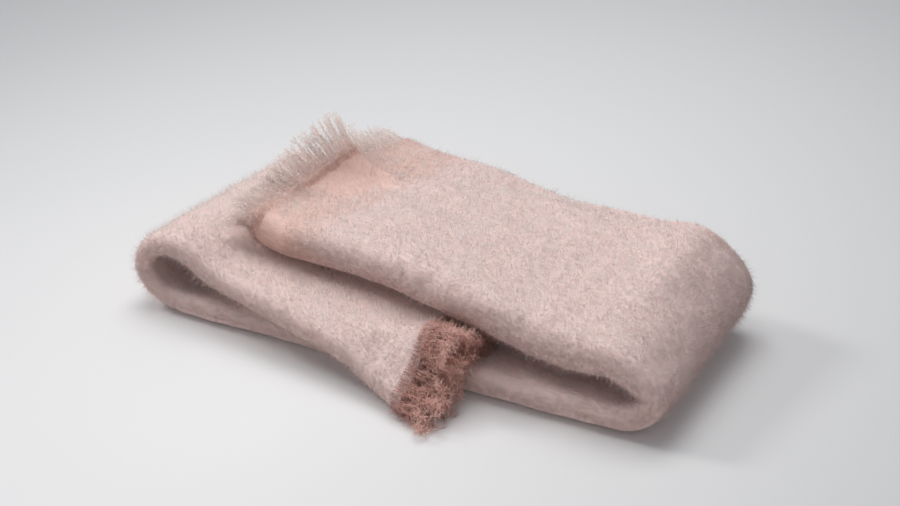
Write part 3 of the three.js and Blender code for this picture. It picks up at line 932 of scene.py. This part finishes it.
def yarn_hairs(path, edge, out, rng, form):
    """Short curled hairs that stand off the yarns."""
    count, steps = path.shape[:2]
    total = count * form["hairs"]
    yarn = np.repeat(np.arange(count), form["hairs"])
    at = rng.uniform(0, 1, total) ** 0.9 * (steps - 1.001)
    k = at.astype(int)
    f = (at - k)[:, None]
    root = path[yarn, k] * (1 - f) + path[yarn, k + 1] * f
    ahead = unit(path[yarn, k + 1] - path[yarn, k])
    turn = rng.uniform(0, 2 * math.pi, total)
    off = edge[yarn] * np.cos(turn)[:, None] + out[yarn] * np.sin(turn)[:, None]
    lift = np.radians(rng.normal(form["lift"], STAND_OFF_SPREAD, total))
    first = ahead * np.cos(lift)[:, None] + off * np.sin(lift)[:, None]
    bent = unit(first + rng.normal(0, form["curl"], (total, 3)))
    length = form["hair"] * rng.uniform(0.5, 1.4, total)
    width = form["hair_width"] * rng.uniform(0.7, 1.4, total)
    bend = root + first * length[:, None] * 0.5
    tip = bend + bent * length[:, None] * 0.5
    side = unit(np.cross(first, rng.normal(size=(total, 3)))) * width[:, None] / 2
    points = np.stack([root, bend + side, bend - side, tip], 1)
    points[..., 2] = np.maximum(points[..., 2], LOWEST_FRIZZ)
    base = np.arange(total)[:, None] * 4
    faces = np.concatenate([base + [0, 1, 2], base + [1, 3, 2]])
    tone = np.clip(rng.normal(0.6, 0.15, total), 0.03, 0.97)
    low = 0.04 + 0.6 * (at / (steps - 1)) + 0 * tone
    uv = np.stack(
        [
            np.stack([tone, low], 1),
            np.stack([tone - 0.01, low + 0.15], 1),
            np.stack([tone + 0.01, low + 0.15], 1),
            np.stack([tone, low + 0.30], 1),
        ],
        1,
    ).reshape(-1, 2)
    shade = unit(np.array(YARNS_FACE) + off * 0.25 + out[yarn] * 0.25)
    return points.reshape(-1, 3), faces, uv, np.repeat(shade, 4, 0)


def new_material(name):
    mat = bpy.data.materials.new(name)
    mat.use_nodes = True
    tree = mat.node_tree
    return mat, tree, tree.nodes["Principled BSDF"]


def node(tree, kind, **values):
    """A node, each value set on its socket of that name or else as its own setting."""
    made = tree.nodes.new(kind)
    for key, value in values.items():
        if key in made.inputs:
            made.inputs[key].default_value = value
        else:
            setattr(made, key, value)
    return made


def ramp(tree, stops):
    """A colour ramp through places and colours."""
    made = tree.nodes.new("ShaderNodeValToRGB")
    band = made.color_ramp
    while len(band.elements) < len(stops):
        band.elements.new(0.5)
    for element, (place_at, colour) in zip(band.elements, stops):
        element.position = place_at
        element.color = (*colour, 1)
    return made


def soften(shader, gloss=0.6, sheen=0.25):
    """The soft lustre of mohair."""
    shader.inputs["Roughness"].default_value = 0.55
    shader.inputs["Specular IOR Level"].default_value = gloss
    shader.inputs["Sheen Weight"].default_value = sheen
    shader.inputs["Sheen Roughness"].default_value = 0.5
    shader.inputs["Sheen Tint"].default_value = (1.0, 0.95, 0.93, 1)


def ground_material():
    """Woven ground: warp lines where the end is bare, and felted by short fibres elsewhere."""
    mat, tree, shader = new_material("woven_ground")
    place_of = node(tree, "ShaderNodeTexCoord")
    flat = node(tree, "ShaderNodeUVMap", uv_map="OFBake")
    fine = node(tree, "ShaderNodeTexNoise", Scale=420.0, Detail=3.0, Roughness=0.6)
    broad = node(tree, "ShaderNodeTexNoise", Scale=60.0, Detail=2.0, Roughness=0.5)
    mixed = node(tree, "ShaderNodeMath", operation="MULTIPLY_ADD")
    mixed.inputs[1].default_value = 0.6
    colours = ramp(tree, ((0.30, GROUND_DEEP), (0.72, GROUND_PALE)))
    split = node(tree, "ShaderNodeSeparateXYZ")
    warp = node(tree, "ShaderNodeTexWave", wave_type="BANDS", bands_direction="X")
    warp.inputs["Scale"].default_value = WARP_SCALE
    warp.inputs["Distortion"].default_value = 1.6
    warp.inputs["Detail"].default_value = 1.0
    warp_colours = ramp(tree, ((0.1, WARP_DEEP), (0.9, WARP_PALE)))
    bare = ramp(tree, tuple(zip(WARP_SHOWS, ((1, 1, 1), (0, 0, 0)))))
    chosen = node(tree, "ShaderNodeMix", data_type="RGBA")
    relief = node(tree, "ShaderNodeMix", data_type="FLOAT")
    bump = node(tree, "ShaderNodeBump", Strength=0.2, Distance=0.0007)
    # A Mix node's own names repeat, so its A and B go by number: 6 and 7 for colours, and 2 and 3
    # for plain values
    link_up = tree.links.new
    link_up(place_of.outputs["Object"], fine.inputs["Vector"])
    link_up(place_of.outputs["Object"], broad.inputs["Vector"])
    link_up(fine.outputs["Fac"], mixed.inputs[0])
    link_up(broad.outputs["Fac"], mixed.inputs[2])
    link_up(mixed.outputs[0], colours.inputs["Fac"])
    link_up(flat.outputs["UV"], split.inputs[0])
    link_up(flat.outputs["UV"], warp.inputs["Vector"])
    link_up(split.outputs["Y"], bare.inputs["Fac"])
    link_up(warp.outputs["Fac"], warp_colours.inputs["Fac"])
    link_up(bare.outputs["Color"], chosen.inputs["Factor"])
    link_up(colours.outputs["Color"], chosen.inputs[6])
    link_up(warp_colours.outputs["Color"], chosen.inputs[7])
    link_up(chosen.outputs[2], shader.inputs["Base Color"])
    link_up(bare.outputs["Color"], relief.inputs["Factor"])
    link_up(fine.outputs["Fac"], relief.inputs[2])
    link_up(warp.outputs["Fac"], relief.inputs[3])
    link_up(relief.outputs[0], bump.inputs["Height"])
    link_up(bump.outputs["Normal"], shader.inputs["Normal"])
    soften(shader)
    return mat


def hair_material(name, root, dull, pale, lets_through, gloss=0.6, sheen=0.25):
    """Hairs: the UV map's u is each hair's tone, which for the pile has painted light in it, and v
    runs from its root to its tip.
    """
    mat, tree, shader = new_material(name)
    uv = node(tree, "ShaderNodeUVMap", uv_map="OFBake")
    split = node(tree, "ShaderNodeSeparateXYZ")
    tones = ramp(tree, ((0.15, dull), (0.75, pale)))
    lengthwise = node(tree, "ShaderNodeMix", data_type="RGBA")
    lengthwise.inputs[6].default_value = (*root, 1)
    along = ramp(tree, ((0.0, (0, 0, 0)), (0.62, (1, 1, 1))))
    link_up = tree.links.new
    link_up(uv.outputs["UV"], split.inputs[0])
    link_up(split.outputs["X"], tones.inputs["Fac"])
    link_up(split.outputs["Y"], along.inputs["Fac"])
    link_up(along.outputs["Color"], lengthwise.inputs["Factor"])
    link_up(tones.outputs["Color"], lengthwise.inputs[7])
    link_up(lengthwise.outputs[2], shader.inputs["Base Color"])
    soften(shader, gloss, sheen)
    glow = node(tree, "ShaderNodeBsdfTranslucent")
    through = node(tree, "ShaderNodeMixShader")
    through.inputs[0].default_value = lets_through
    link_up(lengthwise.outputs[2], glow.inputs["Color"])
    link_up(shader.outputs["BSDF"], through.inputs[1])
    link_up(glow.outputs["BSDF"], through.inputs[2])
    link_up(through.outputs["Shader"], tree.nodes["Material Output"].inputs["Surface"])
    return mat


def make_camera():
    """At the photograph's angle: well off to the right of the long side, looking down a little."""
    azimuth, elevation, lean = (math.radians(turn) for turn in (AZIMUTH, ELEVATION, LEAN))
    back = Vector(
        (
            math.sin(azimuth) * math.cos(elevation),
            -math.cos(azimuth) * math.cos(elevation),
            math.sin(elevation),
        )
    )
    right = Vector((0, 0, 1)).cross(back).normalized()
    up = back.cross(right)
    tilted_right = right * math.cos(lean) + up * math.sin(lean)
    tilted_up = up * math.cos(lean) - right * math.sin(lean)
    data = bpy.data.cameras.new("camera")
    data.sensor_width = SENSOR_WIDTH
    data.lens = FOCAL_LENGTH_PX / PHOTO_WIDTH_PX * SENSOR_WIDTH
    camera = link("camera", data)
    turned = Matrix((tilted_right, tilted_up, back)).transposed().to_4x4()
    place_at = Vector(CAMERA_AIM) + back * CAMERA_DISTANCE
    camera.matrix_world = Matrix.Translation(place_at) @ turned
    bpy.context.scene.camera = camera


def area_light(name, place_at, aim, size, power, colour):
    data = bpy.data.lights.new(name, "AREA")
    data.shape = "SQUARE"
    data.size = size
    data.energy = power
    data.color = colour
    lamp = link(name, data)
    lamp.location = place_at
    lamp.rotation_euler = (Vector(place_at) - Vector(aim)).to_track_quat("Z", "Y").to_euler()


def make_studio():
    """Seamless pale floor with a painted pool of light that darkens outwards, and soft light: a key
    from the left, broad light from above and a weak fill."""
    bm = bmesh.new()
    bmesh.ops.create_grid(bm, x_segments=1, y_segments=1, size=FLOOR_HALF)
    mesh = bpy.data.meshes.new("studio_floor")
    bm.to_mesh(mesh)
    bm.free()
    floor = link("studio_floor", mesh)
    mat, tree, shader = new_material("studio_paper_painted_pool")
    place_of = node(tree, "ShaderNodeTexCoord")
    # Painted pool of light: the floor's colour is brightest about one spot and darker away from it
    painted_pool = node(tree, "ShaderNodeMapping")
    painted_pool.inputs["Location"].default_value = PAINTED_POOL_SHIFT
    painted_pool.inputs["Scale"].default_value = PAINTED_POOL_SCALE
    painted_falloff = node(tree, "ShaderNodeTexGradient", gradient_type="SPHERICAL")
    paper = ramp(tree, FLOOR_PAINTED_POOL_TONES)
    tree.links.new(place_of.outputs["Object"], painted_pool.inputs["Vector"])
    tree.links.new(painted_pool.outputs["Vector"], painted_falloff.inputs["Vector"])
    tree.links.new(painted_falloff.outputs["Fac"], paper.inputs["Fac"])
    tree.links.new(paper.outputs["Color"], shader.inputs["Base Color"])
    shader.inputs["Roughness"].default_value = 0.9
    mesh.materials.append(mat)
    for light in LIGHTS:
        area_light(*light)
    world = bpy.data.worlds.new("studio_air")
    world.use_nodes = True
    world.node_tree.nodes["Background"].inputs["Color"].default_value = AIR_COLOUR
    world.node_tree.nodes["Background"].inputs["Strength"].default_value = AIR_STRENGTH
    bpy.context.scene.world = world
    bpy.context.scene.view_settings.view_transform = "Standard"


make_camera()
make_studio()

folds = Folds()
settle(folds)
cloth = make_cloth(folds)
faces = grid_faces(folds)
openness = open_to_air(faces, cloth)
pile = make_pile(faces, openness)
fringe_upper = make_fringe("yarns_upper", folds, 0, -1, UPPER_FRINGE)
fringe_lower = make_fringe("yarns_lower", folds, -1, 1, LOWER_FRINGE)

cloth.data.materials.append(ground_material())
mohair = hair_material("mohair_pile", HAIR_ROOT, HAIR_TIP_DULL, HAIR_TIP_PALE_AND_PAINTED_SHEEN, HAIR_LETS_THROUGH)
# The upper fringe's yarn colours hold painted backlight, and their darker roots painted shade
yarn = hair_material(
    "mohair_yarn", YARN_ROOT_PAINTED_SHADE, YARN_DULL_PAINTED_LIGHT, YARN_PALE_PAINTED_LIGHT, YARN_LETS_THROUGH, 0.3, 0.1
)
# The lower fringe's frizzy yarn is a darker copy of the same yarn: partly its denser frizz, partly
# painted shade
frizz = hair_material(
    "frizzy_yarn_painted_shade", FRIZZ_ROOT_PAINTED_SHADE, FRIZZ_DULL_PAINTED_SHADE, FRIZZ_PALE_PAINTED_SHADE, HAIR_LETS_THROUGH, 0.25, 0.0
)
for piece in pile:
    piece.data.materials.append(mohair)
fringe_upper.data.materials.append(yarn)
fringe_lower.data.materials.append(frizz)

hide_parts("throw_cloth")
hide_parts("fringe_upper")
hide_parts("fringe_lower")
for piece in (cloth, *pile):
    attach(piece, "root")
for piece in (fringe_upper, fringe_lower):
    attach(piece, "root")
